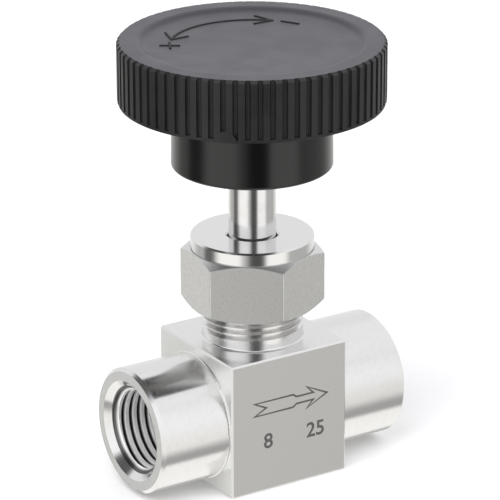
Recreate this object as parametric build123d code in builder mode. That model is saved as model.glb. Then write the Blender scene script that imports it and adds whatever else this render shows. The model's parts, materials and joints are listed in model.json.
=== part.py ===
"""Integral-bonnet needle valve: two G 1/4 female ports, packed stem and round handwheel.

All lengths are millimetres.  Z = 0 is the flat underside of the bar, +Z runs up the stem,
and +X points out of the outlet port.  The valve stands fully open, with its needle raised.
"""

import os
from math import cos, radians, sin, tan

from build123d import *

os.makedirs("parts", exist_ok=True)

# ---------------------------------------------------------------- driving dimensions

cut_margin = 1.0  # how far a cut runs past the surface that it opens

# Body: square bar with a turned port at each end and a turned neck on top
bar_side = 20.0
bar_height = 20.8
bar_bevel = 0.25
port_axis_height = 10.0
body_half_length = 21.35
port_radius = 9.45
port_lip_chamfer = 0.5
port_root_fillet = 0.28
neck_radius = 7.5  # M15 x 1 major radius
neck_top = 32.0
neck_root_fillet = 0.3
neck_embed = 1.0  # how far the turned neck is sunk in the bar, to join with it
neck_top_chamfer = 0.5
neck_plain_band = 1.5
neck_thread_run_out = 0.3
neck_thread_start_angle = 50.0  # the thread runs out on the back of the neck

# G 1/4 port threads
port_pitch = 1.337
port_major_radius = 6.579
port_drill_radius = 5.9
port_mouth_radius = 7.55
port_thread_length = 10.0
port_flank_angle = 27.5
port_thread_start_angle = 75.0
port_bore_depth = 12.5
drill_point_half_angle = 59.0

# Thread form, with depths as shares of the pitch
male_thread_depth = 0.61
female_thread_depth = 0.5
root_flat_share = 1 / 16
thread_overcut = 0.05

# Flow path and seat
orifice_radius = 2.0
passage_radius = 1.6
seat_half_angle = 30.0
seat_bottom = 8.0
seat_top_radius = 2.6
chamber_radius = 3.4
chamber_top = 13.6
chamber_chamfer = 0.35
well_bottom = 2.7
inlet_passage_bottom = 4.6
inlet_passage_top = 9.0
outlet_passage_bottom = 11.3
outlet_passage_top = 10.3
passage_reach = 10.5

# Stem, its M8 x 1 thread and its lift
stem_radius = 3.5
stem_lift = 5.0
stem_thread_radius = 4.0
stem_thread_pitch = 1.0
stem_thread_length = 5.8
stem_thread_chamfer = 0.5
stem_top = 59.0
stem_top_chamfer = 0.4
stem_flat_depth = 0.5
stem_flat_length = 10.5
running_clearance = 0.05
contact_gap = 0.03

# Swivelling needle tip on the stem's button end
tip_radius = 2.9
tip_point_radius = 0.5
tip_height = 7.9
tip_chamfer = 0.3
button_radius = 2.0
button_height = 1.3
button_chamfer = 0.3
button_neck_radius = 1.3
button_floor = 5.45
button_clearance = 0.06

# Packing set in the neck
packing_floor = 24.5
packing_chamber_radius = 5.5
packing_chamber_chamfer = 0.4
packing_inner_radius = 3.56
packing_outer_radius = 5.46
packing_slope = 30.0
packing_ring_count = 4
packing_ring_thickness = 1.1
lower_support_thickness = 0.7
upper_support_thickness = 1.2

# Gland and gland nut
gland_skirt_radius = 5.42
gland_bore_radius = 3.62
gland_flange_radius = 6.6
gland_flange_bottom = 32.6
gland_top = 33.9
gland_chamfer = 0.2
nut_across_flats = 18.5
nut_corner_round = 0.2
nut_clocking = 22.0  # a hexagon corner stands this many degrees round from +X
nut_bottom = 25.8
nut_hex_top = 34.65
nut_chamfer_angle = 30.0
nut_chamfer_radius = 9.2
collar_radius = 9.13
collar_top = 36.7
collar_chamfer = 0.25
collar_relief_depth = 0.18
collar_relief_height = 0.2
nut_bore_radius = 3.65
nut_bore_chamfer = 0.4
nut_thread_top = 33.0
nut_thread_chamfer = 0.55
nut_relief_radius = 7.0
fine_pitch = 1.0

# Handwheel: hub, ribbed rim, dished top and hollow underside
hub_bottom = 47.33
hub_bottom_radius = 11.85
hub_top_radius = 11.7
hub_edge_fillet = 0.5
rim_bottom = 57.11
rim_top = 66.22
rim_radius = 19.5
rim_lip_height = 0.4
rim_lip_inset = 0.15
rim_top_chamfer = 0.4
rib_count = 70
rib_groove_width = 0.8
rib_groove_depth = 0.5
rib_start_angle = -88.42
gate_pad_radius = 1.65
gate_pad_height = 0.05
gate_pad_angle = -133.9
dish_radius = 16.8
dish_depth = 0.85
dish_edge_width = 1.5
dish_edge_share = 0.65
hollow_inner_radius = 12.9
hollow_outer_radius = 17.2
hollow_depth = 4.5
web_count = 6
web_thickness = 1.4

# Brass insert and grub screw
insert_radius = 6.0
insert_bottom = 47.6
insert_top = 59.6
insert_bore_radius = 3.53
insert_groove_depth = 0.5
insert_groove_width = 1.2
insert_groove_heights = (49.2, 56.2)
screw_height = 53.0
screw_radius = 1.95
screw_length = 6.0
screw_tapped_radius = 2.0
screw_access_radius = 2.15
screw_socket_flats = 2.0
screw_socket_depth = 2.2
screw_chamfer = 0.3

# ---------------------------------------------------------------- thread form


def helical_groove(pitch, turns, crest_radius, root_radius, flank_angle=30.0):
    """Right-hand V-groove that climbs from Z = 0; cutting it from a cylinder leaves a thread.

    The groove runs from crest_radius to root_radius, inwards or outwards, with a narrow flat
    at its root.  It opens a little past the crest, so that the cut breaks cleanly through the
    cylinder's surface.
    """
    depth = root_radius - crest_radius
    half_root = pitch * root_flat_share / 2
    half_open = half_root + (abs(depth) + thread_overcut) * tan(radians(flank_angle))
    overcut = thread_overcut if depth < 0 else -thread_overcut
    with BuildPart() as groove:
        with BuildLine() as path:
            Helix(pitch=pitch, height=pitch * turns, radius=crest_radius)
        with BuildSketch(Plane(origin=path.line @ 0, x_dir=(1, 0, 0), z_dir=path.line % 0)):
            with BuildLine():
                Polyline(
                    (overcut, -half_open),
                    (overcut, half_open),
                    (depth, half_root),
                    (depth, -half_root),
                    close=True,
                )
            make_face()
        sweep(path=path.line, is_frenet=True)
    return groove.part


# ---------------------------------------------------------------- valve body

port_axis = Plane((0, 0, port_axis_height), x_dir=(1, 0, 0), z_dir=(0, -1, 0))
seat_rise = (seat_top_radius - orifice_radius) / tan(radians(seat_half_angle))
seat_top = seat_bottom + seat_rise
body_thread_radius = stem_thread_radius + running_clearance
well_point_height = orifice_radius / tan(radians(drill_point_half_angle))
port_point_height = port_drill_radius / tan(radians(drill_point_half_angle))
port_countersink_depth = port_mouth_radius - port_drill_radius

with BuildPart() as valve_body:
    with BuildSketch(Plane.XY):
        Rectangle(bar_side, bar_side)
    extrude(amount=bar_height)
    chamfer(valve_body.edges(), bar_bevel)

    # The two turned ends, each with a small radius where it meets the bar
    with BuildSketch(port_axis):
        with BuildLine():
            root = bar_side / 2
            root_outer = port_radius + port_root_fillet
            arc_step = port_root_fillet * (1 - cos(radians(45)))
            Polyline((0, 0), (0, root_outer), (root, root_outer))
            ThreePointArc(
                (root, root_outer),
                (root + arc_step, port_radius + arc_step),
                (root + port_root_fillet, port_radius),
            )
            Polyline(
                (root + port_root_fillet, port_radius),
                (body_half_length - port_lip_chamfer, port_radius),
                (body_half_length, port_radius - port_lip_chamfer),
                (body_half_length, 0),
                (0, 0),
            )
        make_face()
        mirror(about=Plane.YZ)
    revolve(axis=Axis((0, 0, port_axis_height), (1, 0, 0)))

    # The neck that carries the gland nut
    with BuildSketch(Plane.XZ):
        with BuildLine():
            foot = neck_radius + neck_root_fillet
            foot_step = neck_root_fillet * (1 - cos(radians(45)))
            Polyline((0, bar_height - neck_embed), (foot, bar_height - neck_embed), (foot, bar_height))
            ThreePointArc(
                (foot, bar_height),
                (neck_radius + foot_step, bar_height + foot_step),
                (neck_radius, bar_height + neck_root_fillet),
            )
            Polyline(
                (neck_radius, bar_height + neck_root_fillet),
                (neck_radius, neck_top - neck_top_chamfer),
                (neck_radius - neck_top_chamfer, neck_top),
                (0, neck_top),
                (0, bar_height - neck_embed),
            )
        make_face()
    revolve(axis=Axis.Z)

    # Orifice, seat, chamber, stem thread bore and packing chamber, bored from above
    with BuildSketch(Plane.XZ):
        with BuildLine():
            Polyline(
                (0, well_bottom),
                (orifice_radius, well_bottom + well_point_height),
                (orifice_radius, seat_bottom),
                (seat_top_radius, seat_top),
                (chamber_radius, seat_top),
                (chamber_radius, chamber_top - chamber_chamfer),
                (body_thread_radius, chamber_top),
                (body_thread_radius, packing_floor),
                (packing_chamber_radius, packing_floor),
                (packing_chamber_radius, neck_top - packing_chamber_chamfer),
                (packing_chamber_radius + packing_chamber_chamfer, neck_top),
                (0, neck_top),
                close=True,
            )
        make_face()
    revolve(axis=Axis.Z, mode=Mode.SUBTRACT)

    # Port bores with their countersinks and drill points
    with BuildSketch(port_axis):
        with BuildLine():
            Polyline(
                (body_half_length, 0),
                (body_half_length, port_mouth_radius),
                (body_half_length - port_countersink_depth, port_drill_radius),
                (body_half_length - port_bore_depth, port_drill_radius),
                (body_half_length - port_bore_depth - port_point_height, 0),
                close=True,
            )
        make_face()
        mirror(about=Plane.YZ)
    revolve(axis=Axis((0, 0, port_axis_height), (1, 0, 0)), mode=Mode.SUBTRACT)

    # Slanted passages: under the seat from the inlet, and from above the seat to the outlet
    for side, low, high in (
        (-1, inlet_passage_bottom, inlet_passage_top),
        (1, outlet_passage_bottom, outlet_passage_top),
    ):
        passage = Vector(side * passage_reach, 0, high - low)
        with BuildSketch(Plane(origin=(0, 0, low), z_dir=passage)):
            Circle(passage_radius)
        extrude(amount=passage.length, mode=Mode.SUBTRACT)

    # Port threads, cut inwards from each mouth
    port_groove = helical_groove(
        port_pitch,
        port_thread_length / port_pitch,
        port_drill_radius,
        port_major_radius,
        port_flank_angle,
    )
    for side in (-1, 1):
        mouth = Plane(
            origin=(side * body_half_length, 0, port_axis_height),
            x_dir=(0, 1, 0),
            z_dir=(-side, 0, 0),
        )
        with Locations(mouth.location * Location((0, 0, 0), (0, 0, port_thread_start_angle))):
            add(port_groove, mode=Mode.SUBTRACT)

    # Male thread on the neck, and the stem's thread in the bore
    neck_thread_bottom = bar_height + neck_plain_band
    neck_groove = helical_groove(
        fine_pitch,
        (neck_top - neck_thread_bottom - neck_thread_run_out) / fine_pitch,
        neck_radius,
        neck_radius - male_thread_depth * fine_pitch,
    )
    with Locations(Location((0, 0, neck_thread_bottom), (0, 0, neck_thread_start_angle))):
        add(neck_groove, mode=Mode.SUBTRACT)
    stem_bore_groove = helical_groove(
        stem_thread_pitch,
        (packing_floor - chamber_top) / stem_thread_pitch - 1,
        body_thread_radius,
        body_thread_radius + female_thread_depth * stem_thread_pitch,
    )
    with Locations((0, 0, chamber_top)):
        add(stem_bore_groove, mode=Mode.SUBTRACT)

# ---------------------------------------------------------------- needle tip

closed_apex = seat_bottom - orifice_radius / tan(radians(seat_half_angle)) + contact_gap
tip_cone_rise = 1 / tan(radians(seat_half_angle))
open_apex = closed_apex + stem_lift
tip_bottom = open_apex + tip_point_radius * tip_cone_rise
tip_shoulder = open_apex + tip_radius * tip_cone_rise
tip_top = tip_bottom + tip_height
cavity_bottom = tip_bottom + button_floor
cavity_top = cavity_bottom + button_height + 2 * button_clearance
cavity_radius = button_radius + button_clearance
mouth_radius = button_neck_radius + button_clearance

with BuildPart() as needle_tip:
    with BuildSketch(Plane.XZ):
        with BuildLine():
            Polyline(
                (0, tip_bottom),
                (tip_point_radius, tip_bottom),
                (tip_radius, tip_shoulder),
                (tip_radius, tip_top - tip_chamfer),
                (tip_radius - tip_chamfer, tip_top),
                (mouth_radius, tip_top),
                (mouth_radius, cavity_top),
                (cavity_radius, cavity_top),
                (cavity_radius, cavity_bottom),
                (0, cavity_bottom),
                close=True,
            )
        make_face()
    revolve(axis=Axis.Z)

# ---------------------------------------------------------------- stem

stem_thread_top = packing_floor - contact_gap
stem_thread_bottom = stem_thread_top - stem_thread_length
button_bottom = cavity_bottom + button_clearance
button_top = button_bottom + button_height

with BuildPart() as stem:
    with BuildSketch(Plane.XZ):
        with BuildLine():
            Polyline(
                (0, button_bottom),
                (button_radius - button_chamfer, button_bottom),
                (button_radius, button_bottom + button_chamfer),
                (button_radius, button_top),
                (button_neck_radius, button_top),
                (button_neck_radius, stem_thread_bottom),
                (stem_thread_radius - stem_thread_chamfer, stem_thread_bottom),
                (stem_thread_radius, stem_thread_bottom + stem_thread_chamfer),
                (stem_thread_radius, stem_thread_top),
                (stem_radius, stem_thread_top),
                (stem_radius, stem_top - stem_top_chamfer),
                (stem_radius - stem_top_chamfer, stem_top),
                (0, stem_top),
                close=True,
            )
        make_face()
    revolve(axis=Axis.Z)
    stem_groove = helical_groove(
        stem_thread_pitch,
        stem_thread_length / stem_thread_pitch,
        stem_thread_radius,
        stem_thread_radius - female_thread_depth * stem_thread_pitch,
    )
    with Locations((0, 0, stem_thread_bottom - stem_thread_pitch)):
        add(stem_groove, mode=Mode.SUBTRACT)
    # Flat for the grub screw
    with BuildSketch(Plane.XY.offset(stem_top - stem_flat_length)):
        with Locations((0, stem_radius)):
            Rectangle(2 * stem_radius, 2 * stem_flat_depth)
    extrude(amount=stem_flat_length + cut_margin, mode=Mode.SUBTRACT)

# ---------------------------------------------------------------- packing set

packing_mid_radius = (packing_inner_radius + packing_outer_radius) / 2
packing_half_width = (packing_outer_radius - packing_inner_radius) / 2
packing_peak = packing_half_width * tan(radians(packing_slope))


def packing_piece(bottom, thickness, peaked_below, peaked_above):
    """Ring of the packing set: each face is flat, or a V that peaks at mid-width."""
    below = packing_peak if peaked_below else 0
    above = packing_peak if peaked_above else 0
    with BuildPart() as piece:
        with BuildSketch(Plane.XZ):
            with BuildLine():
                outline = [(packing_inner_radius, bottom)]
                if peaked_below:
                    outline.append((packing_mid_radius, bottom + below))
                outline.append((packing_outer_radius, bottom))
                outline.append((packing_outer_radius, bottom + thickness))
                if peaked_above:
                    outline.append((packing_mid_radius, bottom + thickness + above))
                outline.append((packing_inner_radius, bottom + thickness))
                Polyline(*outline, close=True)
            make_face()
        revolve(axis=Axis.Z)
    return piece.part


packing_start = packing_floor + lower_support_thickness
packing_end = packing_start + packing_ring_count * packing_ring_thickness
lower_packing_support = packing_piece(packing_floor, lower_support_thickness, False, True)
packing_rings = [
    packing_piece(packing_start + index * packing_ring_thickness, packing_ring_thickness, True, True)
    for index in range(packing_ring_count)
]
upper_packing_support = packing_piece(packing_end, upper_support_thickness, True, False)

# ---------------------------------------------------------------- gland

gland_bottom = packing_end + upper_support_thickness + contact_gap

with BuildPart() as gland:
    with BuildSketch(Plane.XZ):
        with BuildLine():
            Polyline(
                (gland_bore_radius, gland_bottom),
                (gland_skirt_radius, gland_bottom),
                (gland_skirt_radius, gland_flange_bottom),
                (gland_flange_radius, gland_flange_bottom),
                (gland_flange_radius, gland_top - gland_chamfer),
                (gland_flange_radius - gland_chamfer, gland_top),
                (gland_bore_radius, gland_top),
                close=True,
            )
        make_face()
    revolve(axis=Axis.Z)

# ---------------------------------------------------------------- gland nut

nut_ceiling = gland_top + contact_gap
nut_corner_radius = nut_across_flats / 2 / cos(radians(30))
nut_chamfer_rise = (nut_corner_radius - nut_chamfer_radius) * tan(radians(nut_chamfer_angle))
nut_thread_radius = neck_radius + running_clearance
collar_foot = nut_hex_top + collar_relief_height
relief_radius = collar_radius - collar_relief_depth

with BuildPart() as gland_nut:
    with BuildSketch(Plane.XY.offset(nut_bottom)):
        RegularPolygon(nut_across_flats / 2, 6, major_radius=False, rotation=nut_clocking)
    extrude(amount=collar_top - nut_bottom)
    fillet(gland_nut.edges().filter_by(Axis.Z), nut_corner_round)

    # Turned envelope: chamfered hexagon corners, a fine relief line and the round collar
    with BuildSketch(Plane.XZ):
        with BuildLine():
            Polyline(
                (0, nut_bottom),
                (nut_chamfer_radius, nut_bottom),
                (nut_corner_radius, nut_bottom + nut_chamfer_rise),
                (nut_corner_radius, nut_hex_top - nut_chamfer_rise),
                (nut_chamfer_radius, nut_hex_top),
                (relief_radius, nut_hex_top),
                (relief_radius, collar_foot),
                (collar_radius, collar_foot),
                (collar_radius, collar_top - collar_chamfer),
                (collar_radius - collar_chamfer, collar_top),
                (0, collar_top),
                close=True,
            )
        make_face()
    revolve(axis=Axis.Z, mode=Mode.INTERSECT)

    # Thread bore from below, relief above it, and the stem's bore through the top
    with BuildSketch(Plane.XZ):
        with BuildLine():
            Polyline(
                (0, nut_bottom),
                (nut_thread_radius + nut_thread_chamfer, nut_bottom),
                (nut_thread_radius, nut_bottom + nut_thread_chamfer),
                (nut_thread_radius, nut_thread_top),
                (nut_relief_radius, nut_thread_top),
                (nut_relief_radius, nut_ceiling),
                (nut_bore_radius, nut_ceiling),
                (nut_bore_radius, collar_top - nut_bore_chamfer),
                (nut_bore_radius + nut_bore_chamfer, collar_top),
                (0, collar_top),
                close=True,
            )
        make_face()
    revolve(axis=Axis.Z, mode=Mode.SUBTRACT)

    nut_groove = helical_groove(
        fine_pitch,
        (nut_thread_top - nut_bottom) / fine_pitch,
        nut_thread_radius,
        nut_thread_radius + female_thread_depth * fine_pitch,
    )
    with Locations((0, 0, nut_bottom - fine_pitch)):
        add(nut_groove, mode=Mode.SUBTRACT)

# ---------------------------------------------------------------- handwheel insert

with BuildPart() as handwheel_insert:
    with BuildSketch(Plane.XY.offset(insert_bottom)):
        Circle(insert_radius)
    extrude(amount=insert_top - insert_bottom)
    # Grooves that lock the insert into the moulding
    for groove_height in insert_groove_heights:
        with BuildSketch(Plane.XY.offset(groove_height)):
            Circle(insert_radius)
            Circle(insert_radius - insert_groove_depth, mode=Mode.SUBTRACT)
        extrude(amount=insert_groove_width, mode=Mode.SUBTRACT)

insert_envelope = handwheel_insert.part

with handwheel_insert:
    with BuildSketch(Plane.XY.offset(insert_bottom)):
        Circle(insert_bore_radius)
    extrude(amount=insert_top - insert_bottom, mode=Mode.SUBTRACT)
    with BuildSketch(Plane(origin=(0, 0, screw_height), z_dir=(0, 1, 0))):
        Circle(screw_tapped_radius)
    extrude(amount=insert_radius + cut_margin, mode=Mode.SUBTRACT)

# ---------------------------------------------------------------- grub screw

screw_tip = stem_radius - stem_flat_depth + contact_gap

with BuildPart() as set_screw:
    with BuildSketch(Plane(origin=(0, screw_tip, screw_height), z_dir=(0, 1, 0))):
        Circle(screw_radius)
    extrude(amount=screw_length)
    chamfer(set_screw.edges(), screw_chamfer)
    with BuildSketch(Plane(origin=(0, screw_tip + screw_length, screw_height), z_dir=(0, 1, 0))):
        RegularPolygon(screw_socket_flats / 2, 6, major_radius=False)
    extrude(amount=-screw_socket_depth, mode=Mode.SUBTRACT)

# ---------------------------------------------------------------- handwheel

rim_lip_radius = rim_radius - rim_lip_inset
dish_floor = rim_top - dish_depth
dish_inner_radius = dish_radius - dish_edge_width
dish_shoulder = rim_top - dish_edge_share * dish_depth
dish_slope = 2 * (dish_shoulder - dish_floor) / dish_inner_radius

# Half-round moulding gate pad that fills the grooves on the rim's lower edge
with BuildPart() as gate_pad:
    pad_direction = Vector(1, 0, 0).rotate(Axis.Z, gate_pad_angle)
    with BuildSketch(Plane(origin=(0, 0, rim_bottom), z_dir=pad_direction)):
        Circle(gate_pad_radius)
    extrude(amount=rim_radius + gate_pad_height)
    with BuildSketch(Plane.XY.offset(rim_bottom)):
        Circle(rim_radius + gate_pad_height)
        Circle(rim_radius - rib_groove_depth - gate_pad_height, mode=Mode.SUBTRACT)
    extrude(amount=2 * gate_pad_radius, mode=Mode.INTERSECT)

with BuildPart() as handwheel:
    with BuildSketch(Plane.XZ):
        with BuildLine():
            fillet_mid = hub_edge_fillet * (1 - sin(radians(45)))
            Line((0, hub_bottom), (hub_bottom_radius - hub_edge_fillet, hub_bottom))
            ThreePointArc(
                (hub_bottom_radius - hub_edge_fillet, hub_bottom),
                (hub_bottom_radius - fillet_mid, hub_bottom + fillet_mid),
                (hub_bottom_radius, hub_bottom + hub_edge_fillet),
            )
            Polyline(
                (hub_bottom_radius, hub_bottom + hub_edge_fillet),
                (hub_top_radius, rim_bottom),
                (rim_lip_radius, rim_bottom),
                (rim_lip_radius, rim_bottom + rim_lip_height),
                (rim_radius, rim_bottom + rim_lip_height),
                (rim_radius, rim_top - rim_top_chamfer),
                (rim_radius - rim_top_chamfer, rim_top),
                (dish_radius, rim_top),
            )
            # Soft shoulder from the flat border, then a shallow bowl to the centre
            Spline(
                (dish_radius, rim_top),
                (dish_inner_radius, dish_shoulder),
                tangents=((-1, 0), (-1, -dish_slope)),
            )
            Spline(
                (dish_inner_radius, dish_shoulder),
                (0, dish_floor),
                tangents=((-1, -dish_slope), (-1, 0)),
            )
            Line((0, dish_floor), (0, hub_bottom))
        make_face()
    revolve(axis=Axis.Z)

    # Grip grooves round the rim, stopping above the plain lip
    with BuildSketch(Plane.XY.offset(rim_bottom + rim_lip_height)):
        with PolarLocations(rim_radius, rib_count, start_angle=rib_start_angle):
            SlotCenterToCenter(2 * (rib_groove_depth - rib_groove_width / 2), rib_groove_width)
    extrude(amount=rim_top - rim_bottom, mode=Mode.SUBTRACT)

    add(gate_pad.part)

    # Hollow between hub and rim, crossed by webs
    with BuildSketch(Plane.XY.offset(rim_bottom)):
        Circle(hollow_outer_radius)
        Circle(hollow_inner_radius, mode=Mode.SUBTRACT)
        web_reach = (hollow_inner_radius + hollow_outer_radius) / 2
        with PolarLocations(web_reach, web_count):
            Rectangle(hollow_outer_radius, web_thickness, mode=Mode.SUBTRACT)
    extrude(amount=hollow_depth, mode=Mode.SUBTRACT)

    # Bore below the insert, the insert's own seat and the grub screw's access hole
    with BuildSketch(Plane.XY.offset(hub_bottom)):
        Circle(insert_radius)
    extrude(amount=insert_bottom - hub_bottom, mode=Mode.SUBTRACT)
    add(insert_envelope, mode=Mode.SUBTRACT)
    with BuildSketch(Plane(origin=(0, 0, screw_height), z_dir=(0, 1, 0))):
        Circle(screw_access_radius)
    extrude(amount=hub_bottom_radius + cut_margin, mode=Mode.SUBTRACT)

# ---------------------------------------------------------------- labels and files

finished = {
    "valve_body": valve_body.part,
    "needle_tip": needle_tip.part,
    "stem": stem.part,
    "lower_packing_support": lower_packing_support,
    "upper_packing_support": upper_packing_support,
    "gland": gland.part,
    "gland_nut": gland_nut.part,
    "handwheel_insert": handwheel_insert.part,
    "set_screw": set_screw.part,
    "handwheel": handwheel.part,
}
for number, ring in enumerate(packing_rings, start=1):
    finished[f"packing_ring_{number}"] = ring

for name, piece in finished.items():
    piece.label = name
    export_step(piece, f"parts/{name}.step")
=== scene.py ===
"""Looks, studio and camera for the needle valve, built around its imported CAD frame.

Blender works in metres, so sizes are written in millimetres and multiplied by MM.  Bearings and
rises are in degrees: a bearing runs round the valve from the camera's side to its right.
"""

import json
from math import cos, degrees, radians, sin

import bmesh
import bpy
from mathutils import Matrix, Vector


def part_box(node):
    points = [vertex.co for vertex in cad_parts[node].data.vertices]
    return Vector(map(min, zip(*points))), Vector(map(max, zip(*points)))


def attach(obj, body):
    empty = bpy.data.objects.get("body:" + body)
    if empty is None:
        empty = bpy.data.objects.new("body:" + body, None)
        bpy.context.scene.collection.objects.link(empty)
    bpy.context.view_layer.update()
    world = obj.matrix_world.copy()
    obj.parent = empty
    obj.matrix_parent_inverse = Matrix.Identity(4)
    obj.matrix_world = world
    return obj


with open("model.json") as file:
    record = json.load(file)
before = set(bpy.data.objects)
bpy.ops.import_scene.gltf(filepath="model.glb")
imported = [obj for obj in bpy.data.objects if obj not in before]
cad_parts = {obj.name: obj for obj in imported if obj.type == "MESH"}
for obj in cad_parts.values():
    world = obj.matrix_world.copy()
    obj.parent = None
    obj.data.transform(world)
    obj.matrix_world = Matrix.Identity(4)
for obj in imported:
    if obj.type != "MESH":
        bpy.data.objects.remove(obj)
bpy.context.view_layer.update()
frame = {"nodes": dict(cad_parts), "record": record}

MM = 0.001

# ---------------------------------------------------------------- sizes read from the frame

body_low, body_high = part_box("valve_body")
wheel_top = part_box("handwheel")[1].z
inlet = next(mount for mount in frame["record"]["mounts"] if mount["name"] == "inlet_port")
port_height = inlet["pos_m"][2]
bar_half = body_high.y

# ---------------------------------------------------------------- sizes that the frame doesn't name

nut_hex_top = 34.65 * MM
rim_bottom = 57.11 * MM
bore_mask_radius = 6.65 * MM
bore_mask_start = 8.8 * MM
thread_root_radius = 6.35 * MM
thread_crest_radius = 5.95 * MM

# How far from an edge a material changes over
face_margin = 0.05 * MM
hub_margin = 0.1 * MM
port_root_reach = 0.3 * MM

# ---------------------------------------------------------------- sizes of the marks

etch_width = 0.3 * MM
etch_thickness = 0.012 * MM
emboss_width = 0.42 * MM
emboss_thickness = 0.16 * MM
emboss_sunk = 0.03 * MM

# Section across a stroke: (share of its width from the middle, share of its thickness)
stroke_section = ((-0.5, 0.0), (-0.35, 1.0), (0.35, 1.0), (0.5, 0.0))
sharpest_mitre = 0.35

# Flow arrow: places along it from its middle, and half widths
arrow_height = 13.25 * MM
arrow_tail = -6.1 * MM
arrow_notch = -4.05 * MM
arrow_step_start = 0.6 * MM
arrow_step_end = 1.25 * MM
arrow_barb = 3.05 * MM
arrow_neck = 4.2 * MM
arrow_tip = 6.6 * MM
arrow_tail_half = 1.0 * MM
arrow_shaft_half = 0.56 * MM
arrow_head_half = 1.7 * MM

# Numerals, each with its place along the bar
numeral_height = 7.8 * MM
numeral_size = 3.3 * MM
numeral_boldness = 0.05 * MM
numeral_curve_steps = 8
numeral_places = {"8": -3.7 * MM, "25": 4.6 * MM}

# Double arrow on the handwheel, with angles in degrees from +X
turning_radius = 11.8 * MM
turning_start = 43.0
turning_end = 137.0
turning_steps = 60
turning_head = 2.6 * MM
turning_head_spread = 0.7
minus_angle = 29.0
plus_angle = 151.0
sign_length = 3.0 * MM

# ---------------------------------------------------------------- camera

camera_bearing = radians(-32.67)  # round the valve from its -Y side
camera_rise = 20.86
camera_roll = radians(-0.145)
camera_distance = 0.5011
camera_lens = 245.7
camera_sensor = 36.0
camera_nearest = 0.01
camera_farthest = 20.0
aim_height = 33.9 * MM
aim_shift = -0.346 * MM

# ---------------------------------------------------------------- node trees

# Sockets of the Mix node, which has one set for numbers and one for colours
MIX_FACTOR = 0
MIX_NUMBERS = (2, 3)
MIX_COLOURS = (6, 7)
MIX_NUMBER_OUT = 0
MIX_COLOUR_OUT = 2

# Between these values a noise runs through its whole range, or through its patches
noise_low, noise_high = 0.3, 0.7
patch_low, patch_high = 0.35, 0.75

# Share of its scale that drawn grain keeps along the direction it was drawn in
grain_stretch = 0.08


class Graph:
    """Short calls that add nodes to one node tree and join them up."""

    def __init__(self, tree):
        self.tree = tree
        tree.nodes.clear()

    def add(self, kind, inputs=None, **settings):
        """Adds a node.  Each input is a value, or another node's output to link it to."""
        node = self.tree.nodes.new(kind)
        for name, value in settings.items():
            setattr(node, name, value)
        for name, value in (inputs or {}).items():
            self.feed(node.inputs[name], value)
        return node

    def feed(self, socket, value):
        """Links a socket to another node's output, or sets its value; None leaves it as it is."""
        if isinstance(value, bpy.types.NodeSocket):
            self.tree.links.new(value, socket)
        elif value is not None:
            socket.default_value = value

    def math(self, operation, first, second=None):
        """A sum, product or other operation on one or two numbers."""
        inputs = {0: first, 1: second}
        return self.add("ShaderNodeMath", inputs, operation=operation).outputs[0]

    def split(self, vector):
        """The x, y and z of a vector."""
        return self.add("ShaderNodeSeparateXYZ", {0: vector}).outputs

    def join(self, x, y, z):
        """A vector from its x, y and z."""
        return self.add("ShaderNodeCombineXYZ", {0: x, 1: y, 2: z}).outputs[0]

    def step(self, value, low, high, start=0.0, end=1.0):
        """A smooth step that runs from start, where value is low, to end, where it is high."""
        inputs = {"Value": value, "From Min": low, "From Max": high, "To Min": start, "To Max": end}
        return self.add("ShaderNodeMapRange", inputs, interpolation_type="SMOOTHSTEP").outputs[0]

    def blend(self, weight, first, second):
        """first where weight is 0, second where it is 1; both are numbers."""
        inputs = {MIX_FACTOR: weight, MIX_NUMBERS[0]: first, MIX_NUMBERS[1]: second}
        return self.add("ShaderNodeMix", inputs).outputs[MIX_NUMBER_OUT]

    def blend_colour(self, weight, first, second):
        """first where weight is 0, second where it is 1; both are colours."""
        inputs = {MIX_FACTOR: weight, MIX_COLOURS[0]: first, MIX_COLOURS[1]: second}
        return self.add("ShaderNodeMix", inputs, data_type="RGBA").outputs[MIX_COLOUR_OUT]

    def position(self):
        """Where the surface is, in its object's own space."""
        return self.add("ShaderNodeTexCoord").outputs["Object"]

    def normal(self):
        """Which way the surface faces, in its object's own space."""
        return self.add("ShaderNodeTexCoord").outputs["Normal"]

    def noise(self, vector, scale, detail=3.0):
        """Noise that changes in all directions."""
        inputs = {"Vector": vector, "Scale": scale, "Detail": detail}
        return self.add("ShaderNodeTexNoise", inputs).outputs[0]

    def noise_along(self, value, scale):
        """Noise that changes along one coordinate only."""
        inputs = {"W": value, "Scale": scale}
        return self.add("ShaderNodeTexNoise", inputs, noise_dimensions="1D").outputs[0]

    def vary(self, noise, low=0.0, high=1.0):
        """A number that wanders between low and high with a noise."""
        return self.step(noise, noise_low, noise_high, low, high)

    def patches(self, noise):
        """1 in the patches of a noise and 0 between them."""
        return self.step(noise, patch_low, patch_high)

    def radius(self, first, second):
        """Distance from an axis, given the two coordinates across it."""
        squares = self.math("ADD", self.math("POWER", first, 2.0), self.math("POWER", second, 2.0))
        return self.math("SQRT", squares)

    def bump(self, height, distance, strength):
        """A normal that follows small heights on the surface."""
        inputs = {"Height": height, "Distance": distance, "Strength": strength}
        return self.add("ShaderNodeBump", inputs).outputs[0]


def grey(level, tint=(1.0, 1.0, 1.0)):
    """An opaque grey, tinted by a share of each of red, green and blue."""
    return (level * tint[0], level * tint[1], level * tint[2], 1.0)


def start_material(name):
    """A new material and its empty graph."""
    material = bpy.data.materials.new(name)
    material.use_nodes = True
    return material, Graph(material.node_tree)


def finish_material(graph, inputs):
    """Ends a material's graph in one shader, with those inputs."""
    shader = graph.add("ShaderNodeBsdfPrincipled", inputs)
    graph.add("ShaderNodeOutputMaterial", {"Surface": shader.outputs[0]})


# ---------------------------------------------------------------- metals


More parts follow.
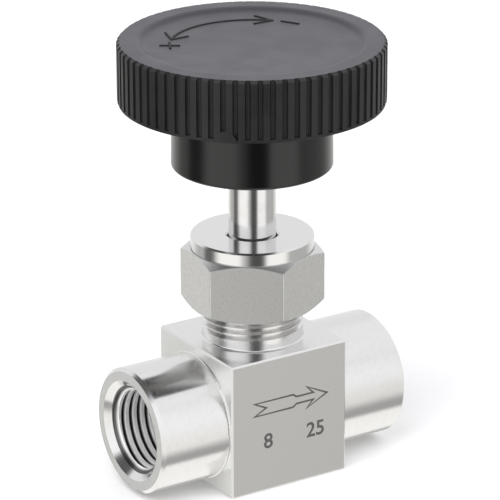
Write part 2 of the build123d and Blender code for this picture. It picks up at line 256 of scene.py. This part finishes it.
def stainless_body_material():
    """Bar with satin sides and bright top, turned ends and neck, end faces brightened with painted
    light, and threads with painted shade in their roots and painted light on their crests.
    """
    material, graph = start_material("stainless_body")
    position = graph.position()
    x, y, z = graph.split(position)
    normal_x, normal_y, _ = graph.split(graph.normal())
    from_axis = graph.radius(y, graph.math("SUBTRACT", z, port_height))
    outward = graph.math("ABSOLUTE", x)

    # Where the satin sides, the end faces, the turned ends and the port bores are.  Steps on a
    # normal run from a bevelled edge to the flat face beside it.
    on_side = graph.math("GREATER_THAN", graph.math("ABSOLUTE", y), bar_half - face_margin)
    sideways = graph.step(graph.math("ABSOLUTE", normal_y), 0.7, 0.95)
    satin = graph.math("MULTIPLY", sideways, on_side)
    facing = graph.step(graph.math("ABSOLUTE", normal_x), 0.9, 0.99)
    turned = graph.math("GREATER_THAN", outward, bar_half + port_root_reach)
    in_bore = graph.math("LESS_THAN", from_axis, bore_mask_radius)
    bore = graph.math("MULTIPLY", in_bore, graph.math("GREATER_THAN", outward, bore_mask_start))
    crest = graph.step(from_axis, thread_root_radius, thread_crest_radius)

    # Satin grain runs along the bar, and tool marks run round the turned ends and their faces
    mottle = graph.noise(position, scale=1500.0, detail=4.0)
    drawn = graph.join(graph.math("MULTIPLY", x, grain_stretch), y, z)
    grain = graph.noise(drawn, scale=9000.0, detail=2.0)
    face_rings = graph.noise_along(from_axis, scale=9000.0)
    tool_rings = graph.noise_along(x, scale=6000.0)
    rings = graph.blend(facing, tool_rings, face_rings)
    texture = graph.blend(satin, rings, grain)

    bright_steel = grey(0.78, (1.0, 0.996, 0.985))
    satin_steel = grey(0.6, (1.0, 0.985, 0.955))
    # Painted light: the end faces get pale colours so they read bright; their duller faced finish is
    # real
    bar_end_painted_light = grey(0.88, (1.0, 0.998, 0.965))
    port_end_painted_light = grey(0.64, (1.0, 0.998, 0.965))
    patch_steel = grey(0.68)
    # Painted shade in the thread roots and painted light on the thread crests
    thread_root_painted_shade = grey(0.14, (1.0, 0.99, 0.96))
    thread_crest_painted_light = grey(0.93)
    patch_weight = 0.25
    side = graph.blend_colour(satin, bright_steel, satin_steel)
    # Painted light on the end faces is blended in here
    end = graph.blend_colour(turned, bar_end_painted_light, port_end_painted_light)
    clean = graph.blend_colour(facing, side, end)
    patchy = graph.blend_colour(graph.patches(mottle), clean, patch_steel)
    outside = graph.blend_colour(patch_weight, clean, patchy)
    thread_painted_light_and_shade = graph.blend_colour(crest, thread_root_painted_shade, thread_crest_painted_light)

    outside_rough = graph.blend(satin, graph.vary(rings, 0.15, 0.22), graph.vary(mottle, 0.34, 0.42))
    thread_rough = graph.blend(crest, 0.3, 0.34)
    # Painted light: the end faces drop to half metal so the lamps light their pale colour
    outside_metal = graph.blend(facing, 1.0, 0.55)
    # Painted light: the crests drop to part metal so their pale colour shows bright
    thread_metal = graph.blend(crest, 1.0, 0.45)
    round_the_ports = graph.add("ShaderNodeTangent", direction_type="RADIAL", axis="X").outputs[0]
    finish_material(
        graph,
        {
            "Base Color": graph.blend_colour(bore, outside, thread_painted_light_and_shade),
            "Metallic": graph.blend(bore, outside_metal, thread_metal),
            "Roughness": graph.blend(bore, outside_rough, thread_rough),
            "Anisotropic": graph.math("MULTIPLY", turned, 0.75),
            "Anisotropic Rotation": 0.25,
            "Tangent": round_the_ports,
            "Normal": graph.bump(texture, 0.001 * MM, graph.blend(satin, 0.2, 1.0)),
        },
    )
    return material


def stainless_nut_material():
    """Hexagon with satin flats and dull chamfers, and a collar that is turned bright."""
    material, graph = start_material("stainless_nut")
    position = graph.position()
    x, y, z = graph.split(position)
    upright = graph.math("ABSOLUTE", graph.split(graph.normal())[2])
    on_hexagon = graph.step(z, nut_hex_top + face_margin, nut_hex_top)
    satin = graph.math("MULTIPLY", graph.step(upright, 0.25, 0.1), on_hexagon)

    drawn = graph.join(x, y, graph.math("MULTIPLY", z, grain_stretch))
    grain = graph.noise(drawn, scale=8000.0, detail=2.0)
    mottle = graph.noise(position, scale=2600.0, detail=4.0)
    rings = graph.noise_along(graph.radius(x, y), scale=9000.0)
    texture = graph.blend(satin, rings, grain)

    bright_steel = grey(0.76, (1.0, 0.998, 0.99))
    satin_steel = grey(0.84, (1.0, 0.998, 0.975))
    patch_steel = grey(0.6)
    clean = graph.blend_colour(satin, bright_steel, satin_steel)
    patchy = graph.blend_colour(graph.patches(mottle), clean, patch_steel)
    patch_weight = graph.math("MULTIPLY", satin, 0.4)
    turned_rough = graph.blend(on_hexagon, graph.vary(rings, 0.1, 0.16), 0.42)
    finish_material(
        graph,
        {
            "Base Color": graph.blend_colour(patch_weight, clean, patchy),
            "Metallic": 1.0,
            "Roughness": graph.blend(satin, turned_rough, graph.vary(mottle, 0.28, 0.36)),
            "Normal": graph.bump(texture, 0.001 * MM, graph.blend(satin, 0.25, 1.0)),
        },
    )
    return material


def polished_steel_material():
    """Centreless-ground bar: bright, with very fine marks round it."""
    material, graph = start_material("polished_steel")
    position = graph.position()
    marks = graph.noise_along(graph.split(position)[2], scale=5000.0)
    cloud = graph.vary(graph.noise(position, scale=500.0))
    finish_material(
        graph,
        {
            "Base Color": graph.blend_colour(cloud, grey(0.72, (1.0, 0.995, 0.985)), grey(0.77)),
            "Metallic": 1.0,
            "Roughness": graph.vary(marks, 0.11, 0.18),
            "Normal": graph.bump(marks, 0.001 * MM, 0.2),
        },
    )
    return material


def plated_brass_material():
    """Turned brass under a thin nickel plating."""
    material, graph = start_material("plated_brass")
    position = graph.position()
    marks = graph.noise_along(graph.split(position)[2], scale=4000.0)
    cloud = graph.vary(graph.noise(position, scale=400.0))
    warm = grey(0.5, (1.0, 0.95, 0.86))
    pale = grey(0.58, (1.0, 0.97, 0.9))
    finish_material(
        graph,
        {
            "Base Color": graph.blend_colour(cloud, warm, pale),
            "Metallic": 1.0,
            "Roughness": graph.vary(marks, 0.2, 0.3),
            "Normal": graph.bump(marks, 0.002 * MM, 0.4),
        },
    )
    return material


def black_oxide_material():
    """Steel with a blackened, slightly mottled surface."""
    material, graph = start_material("black_oxide")
    cloud = graph.noise(graph.position(), scale=1500.0, detail=4.0)
    finish_material(
        graph,
        {
            "Base Color": graph.blend_colour(cloud, grey(0.03), grey(0.07, (1.0, 0.98, 0.95))),
            "Metallic": 1.0,
            "Roughness": graph.vary(cloud, 0.32, 0.45),
            "Normal": graph.bump(cloud, 0.003 * MM, 0.4),
        },
    )
    return material


# ---------------------------------------------------------------- plastics


def black_plastic_material():
    """Moulded black plastic: glossy hub, finely textured rim and satin top, with a painted lilac
    sheen lightening the upward faces.
    """
    material, graph = start_material("black_plastic")
    position = graph.position()
    height = graph.split(position)[2]
    on_hub = graph.step(height, rim_bottom + hub_margin, rim_bottom - hub_margin)
    on_top = graph.step(graph.split(graph.normal())[2], 0.6, 0.95)
    fine = graph.noise(position, scale=6000.0)
    cloud = graph.noise(position, scale=250.0, detail=4.0)

    # Painted sheen: upward faces are coloured lighter and lilac, standing in for the studio's
    # reflection
    top_painted_sheen = grey(0.036, (0.93, 0.9, 1.12))
    hub_black = grey(0.003)
    rim_black = graph.blend_colour(graph.vary(cloud), grey(0.009), grey(0.013))
    upper_black_and_painted_sheen = graph.blend_colour(on_top, rim_black, top_painted_sheen)
    upper_rough = graph.blend(on_top, graph.vary(cloud, 0.42, 0.5), graph.vary(cloud, 0.34, 0.4))
    upper_gloss = graph.blend(on_top, 0.38, 0.48)
    finish_material(
        graph,
        {
            "Base Color": graph.blend_colour(on_hub, upper_black_and_painted_sheen, hub_black),
            "Roughness": graph.blend(on_hub, upper_rough, 0.16),
            "Specular IOR Level": graph.blend(on_hub, upper_gloss, 0.55),
            # Painted sheen: lilac specular tint on the upward faces
            "Specular Tint": graph.blend_colour(on_top, grey(1.0), grey(1.0, (0.97, 0.96, 1.0))),
            "IOR": 1.5,
            "Normal": graph.bump(fine, 0.004 * MM, graph.blend(on_hub, 0.5, 0.04)),
        },
    )
    return material


def ptfe_material():
    """White, waxy packing."""
    material, graph = start_material("white_ptfe")
    cloud = graph.noise(graph.position(), scale=1200.0)
    finish_material(
        graph,
        {
            "Base Color": graph.blend_colour(cloud, grey(0.8, (1.0, 0.99, 0.96)), grey(0.88)),
            "Roughness": graph.vary(cloud, 0.35, 0.5),
            "Subsurface Weight": 0.2,
            "Subsurface Scale": 0.4 * MM,
            "Normal": graph.bump(cloud, 0.003 * MM, 0.3),
        },
    )
    return material


# ---------------------------------------------------------------- finishes of the marks


def laser_mark_material():
    """Dark, dull burn that a marking laser leaves on steel."""
    material, graph = start_material("laser_mark")
    grain = graph.noise(graph.position(), scale=5000.0)
    dark_burn = grey(0.07, (1.0, 0.93, 0.87))
    light_burn = grey(0.13, (1.0, 0.94, 0.9))
    finish_material(
        graph,
        {
            "Base Color": graph.blend_colour(graph.vary(grain), dark_burn, light_burn),
            "Metallic": 0.3,
            "Roughness": graph.vary(grain, 0.5, 0.65),
            "Normal": graph.bump(grain, 0.003 * MM, 0.5),
        },
    )
    return material


def pressed_mark_material():
    """Plastic left rough where the mould's marks are, and coloured deeper black as painted shade in
    the strokes.
    """
    material, graph = start_material("pressed_mark")
    grain = graph.noise(graph.position(), scale=6000.0)
    finish_material(
        graph,
        {
            # Painted shade: deeper black than the dish, standing in for the shadow in the strokes
            "Base Color": graph.blend_colour(graph.vary(grain), grey(0.004), grey(0.008)),
            "Roughness": graph.vary(grain, 0.5, 0.6),
            "Specular IOR Level": 0.3,
            "Normal": graph.bump(grain, 0.004 * MM, 0.5),
        },
    )
    return material


# ---------------------------------------------------------------- dressing the CAD nodes


def dress(nodes, material):
    """Gives CAD nodes a material, in the slots that they already have."""
    for name in nodes:
        for slot in frame["nodes"][name].material_slots:
            slot.material = material


packing_supports = ["lower_packing_support", "upper_packing_support"]
packing_rings = sorted(name for name in frame["nodes"] if name.startswith("packing_ring"))
dress(["valve_body"], stainless_body_material())
dress(["gland_nut"], stainless_nut_material())
dress(["stem", "needle_tip", "gland"] + packing_supports, polished_steel_material())
dress(["handwheel"], black_plastic_material())
dress(["handwheel_insert"], plated_brass_material())
dress(["set_screw"], black_oxide_material())
dress(packing_rings, ptfe_material())

# ---------------------------------------------------------------- marks


def stroke_across(points, closed, index):
    """Step from a path's point to its stroke's edge, for a width of 1, with the corner mitred."""
    here = points[index]
    directions = []
    if closed or index > 0:
        directions.append((here - points[index - 1]).normalized())
    if closed or index < len(points) - 1:
        directions.append((points[(index + 1) % len(points)] - here).normalized())
    arriving, leaving = directions[0], directions[-1]
    along = (arriving + leaving).normalized()
    across = Vector((-along.y, along.x))
    lean = max(across.dot(Vector((-arriving.y, arriving.x))), sharpest_mitre)
    return across / lean


def stroke_mesh(name, paths, width, thickness, place):
    """Flat-topped strokes along paths, laid on a surface by place(u, v, rise).

    Each path is (list of (u, v) points, closed).
    """
    mesh = bmesh.new()
    for corners, closed in paths:
        points = [Vector(corner) for corner in corners]
        rings = []
        for index, point in enumerate(points):
            across = stroke_across(points, closed, index)
            ring = []
            for side, rise in stroke_section:
                spot = point + across * side * width
                ring.append(mesh.verts.new(place(spot.x, spot.y, rise * thickness)))
            rings.append(ring)
        following = rings[1:] + rings[:1] if closed else rings[1:]
        for first, second in zip(rings, following):
            for edge in range(len(stroke_section)):
                back = edge - 1
                mesh.faces.new((first[back], second[back], second[edge], first[edge]))
        if not closed:
            mesh.faces.new(rings[0][::-1])
            mesh.faces.new(rings[-1])
    bmesh.ops.recalc_face_normals(mesh, faces=mesh.faces)
    data = bpy.data.meshes.new(name)
    mesh.to_mesh(data)
    mesh.free()
    piece = bpy.data.objects.new(name, data)
    bpy.context.scene.collection.objects.link(piece)
    return piece


def on_front(u, v, rise):
    """A point on the bar's -Y face."""
    return Vector((u, -bar_half - rise, v))


def on_circle(radius, angle):
    """A point on a circle round the stem, at an angle in degrees."""
    return (radius * cos(radians(angle)), radius * sin(radians(angle)))


def arc_points(radius, start, end, steps):
    """Points on a circle round the stem, between two angles in degrees."""
    turn = (end - start) / steps
    return [on_circle(radius, start + turn * index) for index in range(steps + 1)]


def flow_arrow_outline():
    """Swallow-tailed arrow that points out of the outlet: one half, then its mirror image."""
    upper = [
        (arrow_notch, 0.0),
        (arrow_tail, arrow_tail_half),
        (arrow_step_start, arrow_tail_half),
        (arrow_step_end, arrow_shaft_half),
        (arrow_neck, arrow_shaft_half),
        (arrow_barb, arrow_head_half),
        (arrow_tip, 0.0),
    ]
    lower = [(u, -v) for u, v in reversed(upper[1:-1])]
    return [(u, arrow_height + v) for u, v in upper + lower]


def numeral(text, centre):
    """A number cut into the bar's -Y face by the marking laser."""
    curve = bpy.data.curves.new(f"numeral_{text}", "FONT")
    curve.body = text
    curve.size = numeral_size
    curve.align_x = "CENTER"
    curve.align_y = "CENTER"
    curve.extrude = etch_thickness
    curve.offset = numeral_boldness
    curve.resolution_u = numeral_curve_steps
    shape = bpy.data.objects.new("numeral_shape", curve)
    bpy.context.scene.collection.objects.link(shape)
    bpy.context.view_layer.update()
    evaluated = shape.evaluated_get(bpy.context.evaluated_depsgraph_get())
    data = bpy.data.meshes.new_from_object(evaluated)
    bpy.data.objects.remove(shape)
    upright = Matrix.Rotation(radians(90), 4, "X")
    data.transform(Matrix.Translation((centre, -bar_half, numeral_height)) @ upright)
    piece = bpy.data.objects.new(f"size_mark_{text}", data)
    bpy.context.scene.collection.objects.link(piece)
    return piece


etched = laser_mark_material()
arrow_paths = [(flow_arrow_outline(), True)]
body_marks = [stroke_mesh("flow_arrow", arrow_paths, etch_width, etch_thickness, on_front)]
for text, place in numeral_places.items():
    body_marks.append(numeral(text, place))
for mark in body_marks:
    mark.data.materials.clear()
    mark.data.materials.append(etched)
    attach(mark, "valve")


def on_dish(u, v, rise):
    """A point on the handwheel's dished top, found by looking straight down at it."""
    wheel = frame["nodes"]["handwheel"]
    _, spot, _, _ = wheel.ray_cast(Vector((u, v, wheel_top + MM)), Vector((0, 0, -1)))
    return Vector((u, v, spot.z + rise - emboss_sunk))


def arrow_head(angle, turning):
    """Two barbs of the double arrow; turning is 1 where it points anticlockwise, -1 clockwise."""
    back = angle - turning * degrees(turning_head / turning_radius)
    reach = turning_head_spread * turning_head
    outer = on_circle(turning_radius + reach, back)
    inner = on_circle(turning_radius - reach, back)
    return [outer, on_circle(turning_radius, angle), inner]


def sign_bar(centre, direction):
    """One bar of a plus or minus sign."""
    half = direction * sign_length / 2
    return ([tuple(centre - half), tuple(centre + half)], False)


def turning_marks():
    """Raised double arrow with a plus and a minus sign, for opening and closing."""
    arc = arc_points(turning_radius, turning_start, turning_end, turning_steps)
    paths = [(arc, False)]
    paths.append((arrow_head(turning_end, 1), False))
    paths.append((arrow_head(turning_start, -1), False))
    for angle in (plus_angle, minus_angle):
        centre = Vector(on_circle(turning_radius, angle))
        outward = centre.normalized()
        paths.append(sign_bar(centre, Vector((-outward.y, outward.x))))
        if angle == plus_angle:
            paths.append(sign_bar(centre, outward))
    return paths


emboss = stroke_mesh("turning_marks", turning_marks(), emboss_width, emboss_thickness, on_dish)
emboss.data.materials.append(pressed_mark_material())
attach(emboss, "stem_and_wheel")

# ---------------------------------------------------------------- studio


# Soft boxes and flags stand round the valve: (bearing, half width, softness, level)
standing_cards = [
    (180.0, 48.0, 16.0, 0.95),
    (-44.0, 23.0, 9.0, 1.2),
    (46.0, 20.0, 10.0, 1.18),
    (8.0, 12.0, 9.0, 0.09),
    (-88.0, 9.0, 8.0, 0.16),
]
# Gap between the overhead soft boxes: bearing, rise, half width, softness and level
overhead_flag = (-85.0, 38.0, 22.0, 7.0, 0.1)
# White tent behind the cards: its level below and above the horizon, and the rise it blends over
tent_low, tent_high = 0.54, 0.98
tent_blend = 12.0
tent_low_tint = (1.0, 0.992, 0.972)
tent_high_tint = (0.98, 0.98, 1.0)
# Bands over and under the cards: (rise where the band starts, rise where it is full, level)
underside_band = (-22.0, -40.0, 0.44)
ceiling_band = (36.0, 48.0, 1.05)
table_band = (-44.0, -50.0, 1.15)

floor_size = 4.0


def bearing_vector(bearing, rise=0.0):
    """Direction towards a bearing and a rise."""
    angle = radians(-90 + bearing) + camera_bearing
    level = cos(radians(rise))
    return Vector((cos(angle) * level, sin(angle) * level, sin(radians(rise))))


def studio_world():
    """White tent with soft boxes and flags, seen in reflections and as light; plain pale behind."""
    world = bpy.data.worlds.new("studio")
    bpy.context.scene.world = world
    world.use_nodes = True
    graph = Graph(world.node_tree)
    direction = graph.add("ShaderNodeTexCoord").outputs["Generated"]
    x, y, z = graph.split(direction)
    flat = {0: graph.join(x, y, 0.0)}
    level_direction = graph.add("ShaderNodeVectorMath", flat, operation="NORMALIZE").outputs[0]

    def nearness(target, vector, half, soft):
        """1 near a target and 0 far from it, fading over soft degrees each side of half."""
        inputs = {0: vector, 1: tuple(target)}
        facing = graph.add("ShaderNodeVectorMath", inputs, operation="DOT_PRODUCT").outputs["Value"]
        return graph.step(facing, cos(radians(half + soft)), cos(radians(half - soft)))

    def past(start, end):
        """0 at the rise where a band starts, and 1 from the rise where it is full."""
        return graph.step(z, sin(radians(start)), sin(radians(end)))

    def with_band(light, band):
        start, end, level = band
        return graph.blend(past(start, end), light, level)

    upward = past(-tent_blend, tent_blend)
    light = graph.blend(upward, tent_low, tent_high)
    for bearing, half, soft, level in standing_cards:
        weight = nearness(bearing_vector(bearing), level_direction, half, soft)
        light = graph.blend(weight, light, level)
    light = with_band(light, underside_band)
    light = with_band(light, ceiling_band)
    bearing, rise, half, soft, level = overhead_flag
    weight = nearness(bearing_vector(bearing, rise), direction, half, soft)
    light = graph.blend(weight, light, level)
    light = with_band(light, table_band)

    tint = graph.blend_colour(upward, grey(1.0, tent_low_tint), grey(1.0, tent_high_tint))
    seen = graph.add("ShaderNodeLightPath").outputs["Is Camera Ray"]
    lit = graph.add("ShaderNodeBackground", {"Color": tint, "Strength": light})
    plain = graph.add("ShaderNodeBackground", {"Color": grey(1.0), "Strength": 1.0})
    both = graph.add("ShaderNodeMixShader", {0: seen, 1: lit.outputs[0], 2: plain.outputs[0]})
    graph.add("ShaderNodeOutputWorld", {"Surface": both.outputs[0]})


def studio_floor():
    """Large pale sheet that the valve stands on.  Reflections show the studio instead of it."""
    bpy.ops.mesh.primitive_plane_add(size=floor_size, location=(0, 0, body_low.z))
    floor = bpy.context.object
    floor.name = "studio_floor"
    floor.visible_glossy = False
    material, graph = start_material("pale_paper")
    tooth = graph.noise(graph.position(), scale=400.0)
    finish_material(
        graph,
        {
            "Base Color": graph.blend_colour(tooth, grey(0.9), grey(0.93)),
            "Roughness": 0.9,
            "Specular IOR Level": 0.1,
            "Normal": graph.bump(tooth, 0.01 * MM, 0.2),
        },
    )
    floor.data.materials.append(material)


def soft_light(name, bearing, rise, distance, size, power):
    """Square soft box aimed at the valve.  It lights, and isn't seen in reflections."""
    light = bpy.data.lights.new(name, "AREA")
    light.shape = "SQUARE"
    light.size = size
    light.energy = power
    lamp = bpy.data.objects.new(name, light)
    toward = bearing_vector(bearing, rise)
    lamp.location = toward * distance + Vector((0, 0, aim_height))
    lamp.rotation_euler = toward.to_track_quat("Z", "Y").to_euler()
    lamp.visible_glossy = False
    bpy.context.scene.collection.objects.link(lamp)


def studio_camera():
    """Long lens that looks a little down at the valve's front and inlet."""
    back = bearing_vector(0.0, camera_rise)
    level = Vector((cos(camera_bearing), sin(camera_bearing), 0.0))
    level_up = back.cross(level)
    right = cos(camera_roll) * level + sin(camera_roll) * level_up
    up = back.cross(right)
    data = bpy.data.cameras.new("camera")
    data.lens = camera_lens
    data.sensor_width = camera_sensor
    data.clip_start = camera_nearest
    data.clip_end = camera_farthest
    camera = bpy.data.objects.new("camera", data)
    aim = Vector((0, 0, aim_height)) + level * aim_shift
    turned = Matrix((right, up, back)).transposed().to_4x4()
    camera.matrix_world = Matrix.Translation(aim + back * camera_distance) @ turned
    bpy.context.scene.collection.objects.link(camera)
    bpy.context.scene.camera = camera


studio_world()
studio_floor()
soft_light("key_light", bearing=-35.0, rise=50.0, distance=0.8, size=0.6, power=4.0)
soft_light("fill_light", bearing=60.0, rise=40.0, distance=0.9, size=0.7, power=2.0)
studio_camera()
bpy.context.scene.view_settings.view_transform = "Standard"
